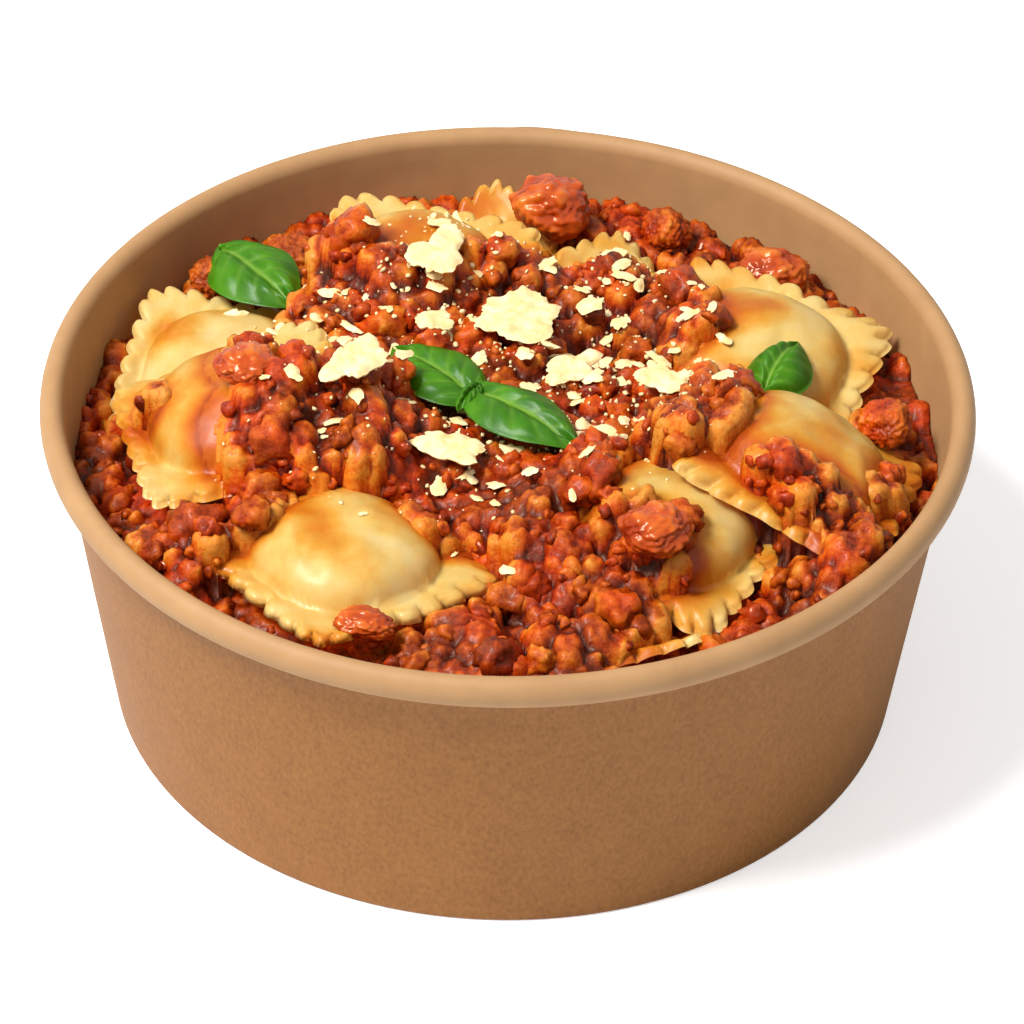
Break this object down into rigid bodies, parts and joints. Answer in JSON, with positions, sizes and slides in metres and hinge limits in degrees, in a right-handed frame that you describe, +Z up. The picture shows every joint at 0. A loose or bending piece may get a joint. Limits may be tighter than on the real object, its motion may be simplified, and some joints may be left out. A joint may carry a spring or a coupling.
{
  "type": "ravioli in meat sauce in a paper bowl",
  "caption": "Round kraft paper bowl filled with square ravioli in a heap of meat sauce, topped with basil leaves and parmesan flakes",
  "frame": {"origin": "on the surface that the bowl stands on, under the middle of the bowl", "axes": "+Z up out of the bowl's mouth; -Y towards the side shown in front, +X to its right"},
  "size_m": [0.15, 0.15, 0.0702],
  "materials": {
    "kraft_board": "brown kraft paper board, matt and faintly flecked outside, satin film inside",
    "coated_board": "brown kraft paper board with a thin satin film",
    "meat_sauce": "wet, lumpy tomato and meat sauce",
    "fresh_pasta": "moist cooked egg pasta, stained orange where the sauce touched it",
    "cooked_tomato": "soft, shiny cooked tomato",
    "cooked_meat": "browned minced meat coated in sauce",
    "basil": "fresh leaf with a soft gloss",
    "parmesan": "dry, grainy hard cheese"
  },
  "bodies": {
    "root": {"bowl_wall": "kraft_board", "bowl_base": "coated_board", "meat_sauce": "meat_sauce", "raviolo_front_left": "fresh_pasta", "raviolo_front_right": "fresh_pasta", "raviolo_right": "fresh_pasta", "raviolo_back_right": "fresh_pasta", "raviolo_middle": "fresh_pasta", "raviolo_back_left": "fresh_pasta", "raviolo_back": "fresh_pasta", "raviolo_left": "fresh_pasta", "raviolo_left_under": "fresh_pasta", "raviolo_front_under": "fresh_pasta", "tomato_chunk_back": "cooked_tomato", "tomato_chunk_right": "cooked_tomato", "tomato_chunk_left": "cooked_tomato", "tomato_chunk_front_right": "cooked_tomato", "tomato_chunk_front_left": "cooked_tomato", "meat_chunk_back_right": "cooked_meat", "meat_chunk_back_left": "cooked_meat", "meat_chunk_far_left": "cooked_meat", "meat_chunk_right": "cooked_meat", "basil_leaf_back_left": "basil", "basil_leaf_left": "basil", "basil_leaf_right": "basil", "basil_leaf_curled": "basil", "parmesan_flake_large": "parmesan", "parmesan_flake_back": "parmesan", "parmesan_flake_left": "parmesan", "parmesan_flake_front": "parmesan", "parmesan_flake_middle": "parmesan", "parmesan_flake_right": "parmesan", "parmesan_flake_beside": "parmesan"}
  },
  "joints": []
}
